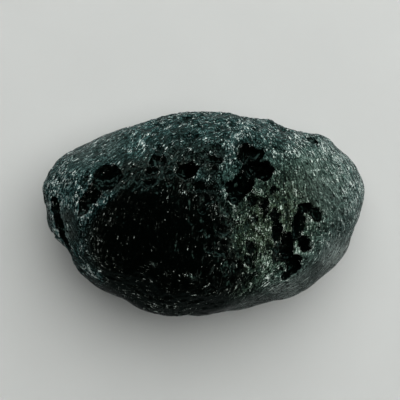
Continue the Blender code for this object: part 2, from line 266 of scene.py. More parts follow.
# Smooth patches with hardly any pits or flecks: plan position, radius and strength.
SMOOTH = (
    (0.0232, -0.0062, 0.0030, 1.3), (0.0205, -0.0093, 0.0030, 1.3), (0.0168, -0.0118, 0.0026, 1.3),
    (0.0128, -0.0136, 0.0024, 1.3), (0.0085, -0.0149, 0.0021, 1.3), (0.0045, -0.0159, 0.0019, 1.3),
    (0.0005, -0.0167, 0.0018, 1.3), (-0.0230, -0.0005, 0.0016, 1.0), (-0.0222, -0.0035, 0.0014, 1.0),
    (-0.0160, 0.0118, 0.0030, 0.6), (-0.0205, 0.0092, 0.0025, 0.5), (0.0185, 0.0050, 0.0050, 0.6),
    (0.0230, 0.0010, 0.0040, 0.5),
)

# Patches where the glass shows olive instead of teal: plan position, radius and strength.
OLIVE = (
    (0.0105, -0.002, 0.0090, 1.0), (0.002, -0.014, 0.0080, 0.8), (0.018, 0.005, 0.0070, 0.5),
)

# Painted highlights along lit ridges and painted glints on the bare glass, laid as extra frost: the
# plan positions of the two ends, half width, strength.
PAINTED_RIDGE_HIGHLIGHTS = (
    # strokes at the upper left
    ((-0.0121, 0.0117), (-0.0124, 0.0098), 0.0004, 3.0),
    ((-0.0108, 0.0122), (-0.0113, 0.0090), 0.0004, 3.0),
    ((-0.0100, 0.0119), (-0.0103, 0.0098), 0.0004, 2.8),
    # beside the left trough
    ((-0.0206, -0.0006), (-0.0138, 0.0038), 0.0011, 3.0),
    # the flow ridge, and the wall under the clover of pits
    ((0.0072, 0.0153), (0.0052, 0.0128), 0.0006, 2.7),
    ((0.0052, 0.0128), (0.0040, 0.0086), 0.0006, 2.1),
    ((0.0028, 0.0035), (0.0049, 0.0007), 0.0007, 3.0),
    ((0.0158, -0.0050), (0.0156, -0.0072), 0.0007, 1.6),
    # the lower left rim
    ((-0.0204, -0.0090), (-0.0176, -0.0107), 0.0007, 3.7),
    # faint painted glints on the bare black glass
    ((-0.0080, -0.0027), (-0.0069, -0.0018), 0.0006, 4.4),
    ((-0.0128, -0.0044), (-0.0118, -0.0040), 0.0006, 4.0),
    ((-0.0090, -0.0079), (-0.0082, -0.0085), 0.0006, 4.0),
    ((-0.0030, -0.0101), (-0.0014, -0.0109), 0.0006, 4.0),
)

# ---- Texture of the glass -----------------------------------------------------------

# How fine each texture is, as lumps in a metre.
CLOUD_SCALE, CLUMP_SCALE, MOTTLE_SCALE = 420.0, 950.0, 1500.0
CREASE_SCALE, NICK_SCALE, GRAIN_SCALE = 2200.0, 2300.0, 4200.0
STREAK_SCALE, SLIVER_SCALE = 4500.0, 5600.0

# How far the drawn-out ones reach along the flow on each side, and the samples in a streak.
SLIVER_REACH, STREAK_REACH, CREASE_REACH = 0.00016, 0.00036, 0.0005
TAPS = 5

# How much each changes the frost, in doublings or halvings of its brightness.
GRAIN_SWING, SLIVER_SWING, STREAK_SWING = 7.0, 6.6, 20.0
CLOUD_SWING, WEAR_SWING, PAINTED_NICK_SHADE = 5.0, 1.2, 2.4
# painted shade: how many halvings darken the frost in the hollows and in the deepest pits
PAINTED_HOLLOW_SHADE, PAINTED_DEEP_SHADE = 5.0, 5.0
BEND = 0.035  # how much the square of a swing darkens both its ends
CONTRAST = 0.085  # how much wider the swings are for each halving of the frost

GLASS_IOR = 1.51
BARE_ROUGHNESS, FROST_ROUGHNESS = 0.20, 0.42
ETCH_DEPTH = 0.0004
FLOOR_MOTTLE_SCALE, FLOOR_DARKER, FLOOR_PALER = 55.0, 0.96, 1.03
FLOOR_ROUGHNESS = 0.85

# Sockets of a mix node that mixes colours.
MIX_FACTOR, MIX_A, MIX_B, MIX_RESULT = 0, 6, 7, 2

# ---- Light --------------------------------------------------------------------------

LAMP_DISTANCE = 0.6
WHITE = (1.0, 1.0, 1.0)

# Windows that the glass mirrors: azimuth, elevation, width, height, share of the glow and tint.
WINDOWS = {
    "far_window": (70, 34, 0.44, 0.22, 1.0, WHITE),
    "left_window": (135, 30, 0.30, 0.20, 1.0, WHITE),
    "right_window": (8, 36, 0.34, 0.24, 1.0, (1.0, 1.0, 0.9)),
    "low_window": (318, 30, 0.26, 0.16, 0.7, (1.0, 0.75, 0.72)),
}

SKYLIGHT_AZIMUTH, SKYLIGHT_ELEVATION, SKYLIGHT_RADIUS = 57, 59, 0.45
SKYLIGHT_TINT = (0.985, 1.0, 0.985)
FLOOR_LIT_FROM = 60  # azimuth of the brighter side of the floor
FLOOR_SHADE = 0.12  # brightness of the shaded side against the bright one

# ---- Settings a user would change ---------------------------------------------------


class TektiteSkin(bpy.types.PropertyGroup):
    """Sizes of the skin's relief."""

    cell: FloatProperty(
        name="Grid", description="Spacing of the surface grid", default=0.000272, unit="LENGTH"
    )
    bubbles: IntProperty(
        name="Small pits", description="How many small bubble pits the skin has", default=520
    )
    pores: IntProperty(
        name="Pores", description="How many etched pores the skin has", default=9000
    )
    smallest: FloatProperty(
        name="Smallest pit", description="Width of the smallest small pit", default=0.0007,
        unit="LENGTH",
    )
    largest: FloatProperty(
        name="Largest pit", description="Width of the largest small pit", default=0.0021,
        unit="LENGTH",
    )
    grain: FloatProperty(
        name="Grain", description="Height of the fine grain", default=0.00014, unit="LENGTH"
    )
    streaks: FloatProperty(
        name="Streaks", description="Height of the flow streaks", default=0.00012, unit="LENGTH"
    )


class TektiteGlass(bpy.types.PropertyGroup):
    """Colours and gloss of the glass."""

    body: FloatVectorProperty(
        name="Glass", description="Colour of the bare glass", default=(0.0002, 0.0004, 0.0003),
        subtype="COLOR", min=0, max=1,
    )
    film: FloatVectorProperty(
        name="Film", description="Tint of thin frost", default=(0.23, 0.62, 0.62),
        subtype="COLOR", min=0, max=1,
    )
    olive: FloatVectorProperty(
        name="Olive film", description="Tint of thin frost in the olive patches",
        default=(0.41, 0.62, 0.35), subtype="COLOR", min=0, max=1,
    )
    stone: FloatVectorProperty(
        name="Smooth film", description="Tint of thin frost on the smooth patches",
        default=(0.48, 0.60, 0.57), subtype="COLOR", min=0, max=1,
    )
    # painted glints: tint of the lone bright flecks on the bare glass
    bare_glint: FloatVectorProperty(
        name="Flakes", description="Tint of the lone flakes on bare glass", default=(0.56, 0.62, 0.54),
        subtype="COLOR", min=0, max=1,
    )
    frost: FloatVectorProperty(
        name="Frost", description="Colour of thick frost", default=(0.60, 0.65, 0.63),
        subtype="COLOR", min=0, max=1,
    )
    sheen: FloatVectorProperty(
        name="Reflection", description="Tint of the reflection", default=(0.50, 1.0, 0.88),
        subtype="COLOR", min=0, max=1,
    )


class TektiteStage(bpy.types.PropertyGroup):
    """Floor, light and camera."""

    floor: FloatVectorProperty(
        name="Floor", description="Colour of the floor", default=(0.565, 0.570, 0.563),
        subtype="COLOR", min=0, max=1,
    )
    camera_distance: FloatProperty(
        name="Camera distance", description="From the outline to the lens", default=0.30, unit="LENGTH"
    )
    view_width: FloatProperty(
        name="View width", description="Seen across the view at the outline", default=0.0684,
        unit="LENGTH",
    )
    view_centre: FloatVectorProperty(
        name="View centre", description="Plan position under the lens", default=(-0.0008, 0.0023),
        size=2, subtype="TRANSLATION", unit="LENGTH",
    )
    room: FloatVectorProperty(
        name="Room", description="Colour of the dim room around", default=(0.004, 0.006, 0.0035),
        subtype="COLOR", min=0, max=1,
    )
    glow: FloatVectorProperty(
        name="Floor glow", description="Colour that the floor throws up on to the glass",
        default=(0.40, 0.42, 0.41), subtype="COLOR", min=0, max=1,
    )
    windows: FloatProperty(name="Windows", description="Brightness of the windows", default=1.3)
    skylight: FloatProperty(name="Skylight", description="Strength of the soft daylight", default=3.6)


# ---- Form of the lump, as functions -------------------------------------------------


def rim_radius(azimuth):
    """Distance from the middle to the outline, by a smooth closed curve through RIM."""
    points = np.array(RIM)
    angles = np.arctan2(points[:, 1], points[:, 0]) % math.tau
    order = np.argsort(angles)
    angles = angles[order]
    radii = np.hypot(points[:, 0], points[:, 1])[order]
    angles = np.concatenate([angles[-2:] - math.tau, angles, angles[:2] + math.tau])
    radii = np.concatenate([radii[-2:], radii, radii[:2]])
    slopes = np.gradient(radii, angles)
    azimuth = azimuth % math.tau
    left = np.searchsorted(angles, azimuth, side="right") - 1
    step = angles[left + 1] - angles[left]
    t = (azimuth - angles[left]) / step
    return (
        radii[left] * (1 + 2 * t) * (1 - t) ** 2
        + radii[left + 1] * t**2 * (3 - 2 * t)
        + step * slopes[left] * t * (1 - t) ** 2
        + step * slopes[left + 1] * t**2 * (t - 1)
    )


def facing(azimuth, tilt):
    """Unit vector leaning tilt degrees from vertical towards an azimuth in degrees."""
    turn, lean = math.radians(azimuth), math.radians(tilt)
    return np.array([math.sin(lean) * math.cos(turn), math.sin(lean) * math.sin(turn), math.cos(lean)])


def flattened(reach, direction):
    """Reach of the lump along each direction once its flattened faces are taken off."""
    centre = np.array([0, 0, RIM_HEIGHT])
    for point, azimuth, tilt in FACES.values():
        normal = facing(azimuth, tilt)
        towards = np.maximum(direction @ normal, 1e-6)
        plane = np.dot(np.array(point) - centre, normal) / towards
        overlap = np.maximum(BLEND - np.abs(reach - plane), 0)
        reach = np.minimum(reach, plane) - overlap**2 / (4 * BLEND)
    return reach


def ripple(points, wavelength, offset):
    """Smooth noise, from about -0.6 to 0.6, at each point."""
    return np.array([noise.noise(Vector(place)) for place in points / wavelength + offset])


def swell(points):
    """Height of the natural lumps at each point of the surface."""
    return sum(height * ripple(points, wavelength, offset) for wavelength, height, offset in SWELLS)


def near_line(points, start, end, half_width):
    """1 on the line from start to end in plan, fading to 0 around it."""
    run = np.subtract(end, start)
    along = np.clip((points[:, :2] - start) @ run / (run @ run), 0, 1)
    gap = np.linalg.norm(points[:, :2] - start - along[:, None] * run, axis=1)
    return np.exp(-((gap / half_width) ** 2))


def near_spot(points, x, y, radius):
    """1 at a plan position, fading to 0 around it."""
    gap = np.hypot(points[:, 0] - x, points[:, 1] - y)
    return np.exp(-((gap / radius) ** 2))


def welt(points):
    """Height of the raised welts at each point of the crown."""
    height = np.zeros(len(points))
    for start, end, half_width, rise in WELTS.values():
        height += rise * near_line(points, start, end, half_width)
    return np.where(points[:, 2] > RIM_HEIGHT, height, 0)


def surface(direction):
    """Points of the lump's skin, before pitting, along unit vectors from its middle."""
    across = np.hypot(direction[:, 0], direction[:, 1])
    rim = rim_radius(np.arctan2(direction[:, 1], direction[:, 0]))
    rise = np.where(direction[:, 2] > 0, CROWN, BELLY)
    section = (across / rim) ** FULLNESS + (np.abs(direction[:, 2]) / rise) ** FULLNESS
    reach = flattened(section ** (-1 / FULLNESS), direction)
    centre = np.array([0, 0, RIM_HEIGHT])
    bare = centre + direction * reach[:, None]
    reach = reach + swell(bare) + welt(bare)
    to_ground = RIM_HEIGHT / np.maximum(-direction[:, 2], 1e-6)
    points = centre + direction * np.minimum(reach, to_ground)[:, None]
    points[reach >= to_ground, 2] = 0
    return points


def box_grid(size, cell):
    """A cube cut into cells about as long as cell would be on a box of this size."""
    grid = bmesh.new()
    bmesh.ops.create_cube(grid, size=2)
    for axis, length in enumerate(size):
        along = [e for e in grid.edges if abs((e.verts[0].co - e.verts[1].co)[axis]) > 1e-6]
        bmesh.ops.subdivide_edges(grid, edges=along, cuts=round(length / cell) - 1)
    return grid


def round_off(cube):
    """Spreads points of a cube's faces evenly over the unit sphere."""
    squares = cube**2
    share = np.empty_like(cube)
    for axis in range(3):
        b, c = squares[:, axis - 2], squares[:, axis - 1]
        share[:, axis] = cube[:, axis] * np.sqrt(1 - b / 2 - c / 2 + b * c / 3)
    return share


def lump_mesh(cell):
    """The whole lump without its pits."""
    half = np.array([max(x for x, _ in RIM), max(y for _, y in RIM), (CROWN + BELLY) / 2])
    grid = box_grid(half * GRID_BOX, cell)
    mesh = bpy.data.meshes.new("tektite_skin")
    grid.to_mesh(mesh)
    grid.free()
    direction = round_off(places(mesh)) * half + [0, 0, CLOSER * half[2]]
    direction /= np.linalg.norm(direction, axis=1, keepdims=True)
    set_places(mesh, surface(direction))
    return mesh


def places(mesh):
    """The mesh's vertices as an array."""
    flat = np.empty(len(mesh.vertices) * 3)
    mesh.vertices.foreach_get("co", flat)
    return flat.reshape(-1, 3)


def normals(mesh):
    """The mesh's vertex normals as an array."""
    flat = np.empty(len(mesh.vertices) * 3)
    mesh.vertex_normals.foreach_get("vector", flat)
    return flat.reshape(-1, 3)


def set_places(mesh, points):
    """Moves the mesh's vertices."""
    mesh.vertices.foreach_set("co", points.ravel())
    mesh.update()


# ---- Pits ---------------------------------------------------------------------------


def pit_frame(place, normal, along, length, width, depth):
    """Matrix that sets a unit ball in the skin at a place, its length lying along a direction."""
    side = normal.cross(along).normalized()
    along = side.cross(normal)
    turned = Matrix((along, side, normal)).transposed().to_4x4()
    return Matrix.Translation(place) @ turned @ Matrix.Diagonal((length / 2, width / 2, depth, 1))


def named_pits(mesh):
    """Frames of the pits that have names."""
    tree = BVHTree.FromPolygons(
        [vertex.co for vertex in mesh.vertices], [list(face.vertices) for face in mesh.polygons]
    )
    high = CROWN + BELLY + RIM_HEIGHT
    for x, y, length, width, depth, heading in CROWN_PITS.values():
        place, normal, _, _ = tree.ray_cast(Vector((x, y, high)), Vector((0, 0, -1)))
        normal = (normal + UPRIGHT * Vector((0, 0, 1))).normalized()
        turn = math.radians(heading)
        along = Vector((math.cos(turn), math.sin(turn), 0))
        yield pit_frame(place, normal, along, length, width, depth)
    centre = Vector((0, 0, RIM_HEIGHT))
    for azimuth, elevation, length, width, depth, heading in FLANK_PITS.values():
        outward = Vector(facing(azimuth, 90 - elevation))
        place, normal, _, _ = tree.ray_cast(centre + outward * AFAR, -outward)
        level = Vector((outward.y, -outward.x, 0)).normalized()
        turn = math.radians(heading)
        along = level * math.cos(turn) + Vector((0, 0, math.sin(turn)))
        yield pit_frame(place, normal, along, length, width, depth)


def small_pits(points, outward, flow, skin):
    """Frames of the scattered bubble pits, closer together where the skin is more pitted."""
    dice = np.random.default_rng(7)
    chance = np.clip(0.35 + pitting(points), 0.005, None)
    chosen = dice.choice(len(points), skin.bubbles, replace=False, p=chance / chance.sum())
    for index in chosen:
        share = dice.random() ** BUBBLE_RARITY
        width = skin.smallest * (skin.largest / skin.smallest) ** share
        length = width * dice.uniform(*BUBBLE_LENGTHS)
        depth = width * dice.uniform(*BUBBLE_DEPTHS)
        along = Vector(flow[index]) + Vector(dice.normal(0, BUBBLE_STRAY, 3))
        yield pit_frame(Vector(points[index]), Vector(outward[index]), along, length, width, depth)


def pores(points, outward, flow, skin):
    """Frames of the etched pores, drawn out along the flow."""
    dice = np.random.default_rng(19)
    chance = np.clip(0.45 + pitting(points), 0.05, None)
    chosen = dice.choice(len(points), skin.pores, replace=False, p=chance / chance.sum())
    for index in chosen:
        width = dice.uniform(*PORE_WIDTHS)
        length = width * dice.uniform(*PORE_LENGTHS)
        depth = width * dice.uniform(*PORE_DEPTHS)
        along = Vector(flow[index]) + Vector(dice.normal(0, PORE_STRAY, 3))
        yield pit_frame(Vector(points[index]), Vector(outward[index]), along, length, width, depth)


def carve(points, frames, ragged):
    """Sinks the points inside each pit to its far wall, and returns how far each one sank."""
    before = points.copy()
    wobble = np.stack([ripple(points, WAVER, (9.1, 4.7, 17.3 * axis)) for axis in range(3)], axis=1)
    tree = KDTree(len(points))
    for index, point in enumerate(points):
        tree.insert(point, index)
    tree.balance()
    for pit in frames:
        half_length, half_width, depth = (pit.col[axis].length for axis in range(3))
        found = tree.find_range(pit.translation, half_length * 1.5)
        near = np.array([index for _, index, _ in found])
        if len(near) == 0:
            continue
        inverse = np.array(pit.inverted())
        warped = points[near] + wobble[near] * min(half_width * 0.42, ragged)
        local = warped @ inverse[:3, :3].T + inverse[:3, 3]
        spread = local[:, 0] ** 2 + local[:, 1] ** 2
        floor = -np.sqrt(np.maximum(1 - spread**2, 0))
        sink = np.where((spread < 1) & (local[:, 2] < 1.5), np.maximum(local[:, 2] - floor, 0), 0)
        inward = -np.array(pit.col[2].xyz) / depth
        points[near] += inward * (sink * depth)[:, None]
    return np.linalg.norm(points - before, axis=1)


# ---- Relief of the skin -------------------------------------------------------------


def pitting(points):
    """How strongly the skin is pitted at each point, from the patches."""
    amount = np.zeros(len(points))
    for x, y, radius, strength in PATCHES:
        amount += strength * near_spot(points, x, y, radius)
    on_crown = np.clip((points[:, 2] - RIM_HEIGHT) / 0.004 + 0.5, 0, 1)
    return amount * on_crown - 0.1 * (1 - on_crown) - smoothness(points)


def blots(points, patches, base):
    """A base value, raised or lowered in round patches on the crown."""
    amount = np.full(len(points), base)
    on_crown = np.clip((points[:, 2] - RIM_HEIGHT) / 0.003 + 1.5, 0, 1)
    for x, y, radius, strength in patches:
        amount += strength * near_spot(points, x, y, radius) * on_crown
    return amount


def smoothness(points):
    """How smooth the skin is at each point, from 0 to 1."""
    return np.clip(blots(points, SMOOTH, 0.0), 0, 1)


def painted_ridge_highlights(points):
    """Extra frost that paints highlights along the ridges of the crown and glints on its bare glass.
    """
    amount = np.zeros(len(points))
    for start, end, half_width, strength in PAINTED_RIDGE_HIGHLIGHTS:
        amount += strength * near_line(points, start, end, half_width)
    patchy = 1 + ripple(points, HIGHLIGHT_BREAK_WAVELENGTH, (6.6, 3.1, 9.4))
    above_flank = np.clip((points[:, 2] / RIM_HEIGHT - 0.75) / 0.2, 0, 1)
    return amount * patchy * above_flank


def weathering(points):
    """Broad drift of the frost round the flanks and underneath."""
    below_crown = np.clip(1.1 - (points[:, 2] - RIM_HEIGHT) / 0.003, 0, 1)
    return below_crown * (DRIFT * ripple(points, DRIFT_WIDTH, (4.4, 9.2, 7.3)) - 0.2)


def edge_wear(mesh, points):
    """How far each point stands proud of its neighbours: 0.5 is level, 1 a worn edge, 0 a hollow."""
    ends = np.empty(len(mesh.edges) * 2, dtype=np.int32)
    mesh.edges.foreach_get("vertices", ends)
    ends = ends.reshape(-1, 2)
    count = np.bincount(ends.ravel(), minlength=len(points))[:, None]

    def spread(values):
        total = np.zeros_like(values)
        np.add.at(total, ends[:, 0], values[ends[:, 1]])
        np.add.at(total, ends[:, 1], values[ends[:, 0]])
        return total / count

    around = spread(spread(points))
    proud = np.sum((points - around) * normals(mesh), axis=1)[:, None]
    proud = (proud + spread(proud)) / 2
    return 0.5 + 0.5 * np.clip(proud[:, 0] / WORN_EDGE, -1, 1)


def flow_lines(points, outward):
    """Direction of flow along the skin at each point: headings blended as double angles."""
    double = np.zeros((len(points), 2))
    for x, y, heading in FLOW:
        turn = 2 * math.radians(heading)
        way = np.array([math.cos(turn), math.sin(turn)])
        double += near_spot(points, x, y, FLOW_REACH)[:, None] * way
        double += 1e-6 * way
    heading = np.arctan2(double[:, 1], double[:, 0]) / 2
    flat = np.stack([np.cos(heading), np.sin(heading), np.full(len(points), 0.15)], axis=1)
    flat -= outward * np.sum(flat * outward, axis=1, keepdims=True)
    return flat / np.maximum(np.linalg.norm(flat, axis=1, keepdims=True), 1e-6)


def streaked(points, flow, wavelength, run, offset):
    """Noise drawn out along the flow: the mean of samples up to run away on each side."""
    steps = np.linspace(-run, run, 7)
    return sum(ripple(points + flow * step, wavelength, offset) for step in steps) / 7 * 2.2


def relief(points, flow, skin):
    """Height of the skin's fine relief."""
    rough = np.clip(0.7 + 0.7 * pitting(points), 0.05, 1.3)
    height = skin.grain * rough * ripple(points, COARSE_GRAIN, (2.2, 8.8, 4.1))
    height += skin.grain * 0.6 * rough * ripple(points, FINE_GRAIN, (5.2, 1.8, 3.3))
    streaks = streaked(points, flow, STREAK_WIDTH, STREAK_RUN, (1, 5, 2))
    return height + skin.streaks * (0.2 + 0.8 * rough) * streaks


def keep_values(mesh, name, values):
    """Stores a value at each vertex for the glass to read."""
    layer = mesh.attributes.new(name, "FLOAT", "POINT")
    layer.data.foreach_set("value", values.astype(np.float32))


def build_lump(skin):
    """The lump's skin as one mesh: form, named pits, small pits and fine relief."""
    mesh = lump_mesh(skin.cell)
    points, outward = places(mesh), normals(mesh)
    flow = flow_lines(points, outward)
    deep = carve(points, list(named_pits(mesh)), NAMED_RAGGED)
    set_places(mesh, points)
    outward = normals(mesh)
    shallow = carve(points, list(small_pits(points, outward, flow, skin)), RAGGED)
    set_places(mesh, points)
    fine = carve(points, list(pores(points, normals(mesh), flow, skin)), RAGGED)
    set_places(mesh, points)
    points += normals(mesh) * relief(points, flow, skin)[:, None]
    points[:, 2] = np.maximum(points[:, 2], 0)
    set_places(mesh, points)
    mesh.shade_smooth()
    # painted shade: how far each point sank into a pit, for the glass to darken its hollows
    sunk = NAMED_SHADE * deep + BUBBLE_SHADE * shallow + PORE_SHADE * fine
    keep_values(mesh, "sunk", np.clip(sunk / MM, 0, 4))
    # frost with painted light and shade: the patches darken and brighten the crown where its light
    # falls
    frosting_and_painted_light = blots(points, FROST_AND_PAINTED_LIGHT, PLAIN_FROST) + painted_ridge_highlights(points) + weathering(points)
    keep_values(mesh, "frosting_and_painted_light", frosting_and_painted_light)
    keep_values(mesh, "olive", np.clip(blots(points, OLIVE, 0.0), 0, 1))
    keep_values(mesh, "smooth", smoothness(points))
    keep_values(mesh, "worn", edge_wear(mesh, points))
    layer = mesh.attributes.new("flow", "FLOAT_VECTOR", "POINT")
    layer.data.foreach_set("vector", flow.astype(np.float32).ravel())
    return mesh


# ---- Materials ----------------------------------------------------------------------


class Nodes:
    """Shorthand for wiring a material's nodes."""

    def __init__(self, tree):
        self.tree = tree

    def add(self, kind, values=None, **settings):
        """A node of a kind, with its settings and its inputs' values or links."""
        node = self.tree.nodes.new(kind)
        for name, value in settings.items():
            setattr(node, name, value)
        for name, value in (values or {}).items():
            if isinstance(value, bpy.types.NodeSocket):
                self.wire(value, node.inputs[name])
            else:
                node.inputs[name].default_value = value
        return node

    def math(self, operation, a, b, clamp=False):
        """Output of a math node."""
        node = self.add("ShaderNodeMath", {0: a, 1: b}, operation=operation, use_clamp=clamp)
        return node.outputs["Value"]

    def ramp(self, factor, low, high):
        """A smooth step from 0 at low to 1 at high."""
        values = {"Value": factor, "From Min": low, "From Max": high}
        node = self.add("ShaderNodeMapRange", values, interpolation_type="SMOOTHSTEP")
        return node.outputs["Result"]

    def swing(self, value, gain):
        """A value from 0 to 1 made to swing about zero, times a gain."""
        return self.math("MULTIPLY", self.math("SUBTRACT", value, 0.5), gain)

    def weaken(self, value, where, share):
        """The value, weaker by a share where the second value is 1."""
        left = self.math("SUBTRACT", 1.0, self.math("MULTIPLY", where, share))
        return self.math("MULTIPLY", value, left)

    def along(self, place, flow, step):
        """The place, moved a step along the flow."""
        values = {0: flow, 1: (step, step, step), 2: place}
        return self.add("ShaderNodeVectorMath", values, operation="MULTIPLY_ADD").outputs["Vector"]

    def mix(self, factor, a, b):
        """Colour a where the factor is 0 and b where it is 1."""
        a, b = (side if isinstance(side, bpy.types.NodeSocket) else (*side, 1.0) for side in (a, b))
        values = {MIX_FACTOR: factor, MIX_A: a, MIX_B: b}
        return self.add("ShaderNodeMix", values, data_type="RGBA").outputs[MIX_RESULT]

    def wire(self, output, target):
        """Links an output to an input."""
        self.tree.links.new(output, target)


def noise_at(nodes, place, scale, detail=1.0, roughness=0.5):
    """Soft noise with lumps about 1 / scale across."""
    values = {"Vector": place, "Scale": scale, "Detail": detail, "Roughness": roughness}
    return nodes.add("ShaderNodeTexNoise", values).outputs["Fac"]


def drawn_out(nodes, place, flow, scale, reach):
    """Noise smeared along the flow: the mean of samples up to reach away on each side."""
    total = 0.0
    for tap in range(TAPS):
        step = reach * (2 * tap / (TAPS - 1) - 1)
        total = nodes.math("ADD", noise_at(nodes, nodes.along(place, flow, step), scale), total)
    return nodes.math("MULTIPLY", total, 1 / TAPS)


def cells_at(nodes, place, scale):
    """Random cells about 1 / scale across: the distance from their middles, and their colours."""
    cells = nodes.add("ShaderNodeTexVoronoi", {"Vector": place, "Scale": scale}, feature="F1")
    chance = nodes.add("ShaderNodeSeparateColor", {"Color": cells.outputs["Color"]})
    return cells.outputs["Distance"], chance.outputs


def sliver_glints(nodes, place, flow):
    """Random cells drawn out along the flow, as painted glints: the brightest of three samples along
    it.
    """
    brightest = 0.0
    for step in (-SLIVER_REACH, 0.0, SLIVER_REACH):
        _, chance = cells_at(nodes, nodes.along(place, flow, step), SLIVER_SCALE)
        brightest = nodes.math("MAXIMUM", chance["Red"], brightest)
    return brightest


def flecks(nodes, place, flow, kept, cloud, grain):
    """How far the frost strays from its patch's strength, in doublings: flecks that are partly frost
    and partly painted glints, nicks, streaks.
    """
    specks = nodes.math("SUBTRACT", sliver_glints(nodes, place, flow), 0.25)
    fine = nodes.math("ADD", nodes.swing(grain, GRAIN_SWING), nodes.swing(specks, SLIVER_SWING))
    clumps = nodes.ramp(noise_at(nodes, place, CLUMP_SCALE), 0.44, 0.64)
    clumps = nodes.math("ADD", nodes.math("MULTIPLY", clumps, 0.8), 0.7)
    fine = nodes.math("MULTIPLY", fine, clumps)
    broad = nodes.swing(cloud, CLOUD_SWING)
    broad = nodes.math("ADD", broad, nodes.swing(kept["worn"], WEAR_SWING))
    uneven = nodes.weaken(nodes.math("ADD", fine, broad), kept["smooth"], 0.8)

    # small dark nicks in the frost: painted shade that stands for small dark pits
    distance, chance = cells_at(nodes, place, NICK_SCALE)
    nicks = nodes.ramp(distance, 0.6, 0.2)
    nicks = nodes.math("MULTIPLY", nodes.ramp(chance["Green"], 0.22, 0.10), nicks)
    uneven = nodes.math("SUBTRACT", uneven, nodes.math("MULTIPLY", nicks, PAINTED_NICK_SHADE))

    streaks = nodes.swing(drawn_out(nodes, place, flow, STREAK_SCALE, STREAK_REACH), STREAK_SWING)
    streaks = nodes.weaken(nodes.math("MULTIPLY", streaks, clumps), kept["smooth"], 0.4)
    return nodes.math("ADD", uneven, streaks)


def frost_strength(nodes, uneven, bare, hollow, kept):
    """How strongly the skin is frosted, from 0 to 1, out of doublings and halvings, darkened by
    painted shade in the hollows.
    """
    bend = nodes.math("MULTIPLY", nodes.math("MULTIPLY", uneven, uneven), BEND)
    uneven = nodes.math("SUBTRACT", uneven, nodes.weaken(bend, bare, 1.0))
    contrast = nodes.math("SUBTRACT", 1.0, nodes.math("MULTIPLY", kept["frosting_and_painted_light"], CONTRAST))
    # wider swings in the hollows give painted glints inside the pits
    contrast = nodes.math("ADD", contrast, nodes.math("MULTIPLY", hollow, 0.8))
    stops = nodes.math("ADD", kept["frosting_and_painted_light"], nodes.math("MULTIPLY", uneven, contrast))
    # painted shade in the hollows and in the deepest pits
    stops = nodes.math("SUBTRACT", stops, nodes.math("MULTIPLY", hollow, PAINTED_HOLLOW_SHADE))
    deep_shade = nodes.math("MULTIPLY", nodes.ramp(kept["sunk"], 1.3, 2.8), PAINTED_DEEP_SHADE)
    return nodes.math("POWER", 2.0, nodes.math("SUBTRACT", stops, deep_shade), clamp=True)


def frost_tone(nodes, strength, bare, kept, colours):
    """Colour of the frost: teal or olive where thin, greyer where smooth, pale where thick."""
    tone = nodes.mix(kept["olive"], colours.film, colours.olive)
    tone = nodes.mix(bare, tone, colours.bare_glint)
    tone = nodes.mix(kept["smooth"], tone, colours.stone)
    thick = nodes.mix(nodes.math("MULTIPLY", kept["olive"], 0.15), colours.frost, colours.olive)
    return nodes.mix(nodes.ramp(strength, 0.03, 0.5), tone, thick)


def etching(nodes, place, flow, kept, hollow, grain):
    """Height of the finest relief, drawn out along the flow and gone from the bare glass."""
    creases = drawn_out(nodes, place, flow, CREASE_SCALE, CREASE_REACH)
    height = nodes.math("ADD", creases, nodes.math("MULTIPLY", grain, 0.2))
    mottle = noise_at(nodes, place, MOTTLE_SCALE, 2.0)
    height = nodes.math("ADD", height, nodes.math("MULTIPLY", mottle, 0.5))
    height = nodes.weaken(height, kept["smooth"], 0.6)
    height = nodes.math("MULTIPLY", height, nodes.ramp(kept["frosting_and_painted_light"], -11.0, -3.5))
    return nodes.weaken(height, hollow, 0.8)


def tektite_glass(colours):
    """Black-green glass, drawn out in fine streaks along its flow and frosted in flecks, with painted
    light, highlights and glints in the frost and painted shade in its hollows.
    """
    material = bpy.data.materials.new("tektite_glass")
    material.use_nodes = True
    nodes = Nodes(material.node_tree)
    shader = material.node_tree.nodes["Principled BSDF"]
    place = nodes.add("ShaderNodeTexCoord").outputs["Object"]
    flow = nodes.add("ShaderNodeAttribute", attribute_name="flow").outputs["Vector"]
    kept = {
        name: nodes.add("ShaderNodeAttribute", attribute_name=name).outputs["Fac"]
        for name in ("frosting_and_painted_light", "sunk", "worn", "olive", "smooth")
    }
    cloud = noise_at(nodes, place, CLOUD_SCALE, 4.0, 0.6)
    grain = noise_at(nodes, place, GRAIN_SCALE)

    # mask of the hollows that get painted shade, with softened edges
    blurred = nodes.math("SUBTRACT", kept["sunk"], nodes.swing(cloud, 1.2))
    hollow = nodes.ramp(blurred, 0.15, 0.9)
    bare = nodes.math("SUBTRACT", kept["frosting_and_painted_light"], nodes.math("MULTIPLY", hollow, 4.0))
    bare = nodes.ramp(bare, -5.5, -9.0)
    uneven = flecks(nodes, place, flow, kept, cloud, grain)
    strength = frost_strength(nodes, uneven, bare, hollow, kept)
    tone = frost_tone(nodes, strength, bare, kept, colours)
    nodes.wire(nodes.mix(strength, colours.body, tone), shader.inputs["Base Color"])

    frosted = nodes.ramp(strength, 0.0, 0.4)
    values = {"Value": frosted, "To Min": BARE_ROUGHNESS, "To Max": FROST_ROUGHNESS}
    rough = nodes.add("ShaderNodeMapRange", values).outputs["Result"]
    nodes.wire(rough, shader.inputs["Roughness"])
    height = etching(nodes, place, flow, kept, hollow, grain)
    bump = nodes.add("ShaderNodeBump", {"Height": height, "Strength": 1.0, "Distance": ETCH_DEPTH})
    nodes.wire(bump.outputs["Normal"], shader.inputs["Normal"])
    shader.inputs["IOR"].default_value = GLASS_IOR
    shader.inputs["Specular Tint"].default_value = (*colours.sheen, 1.0)
    return material


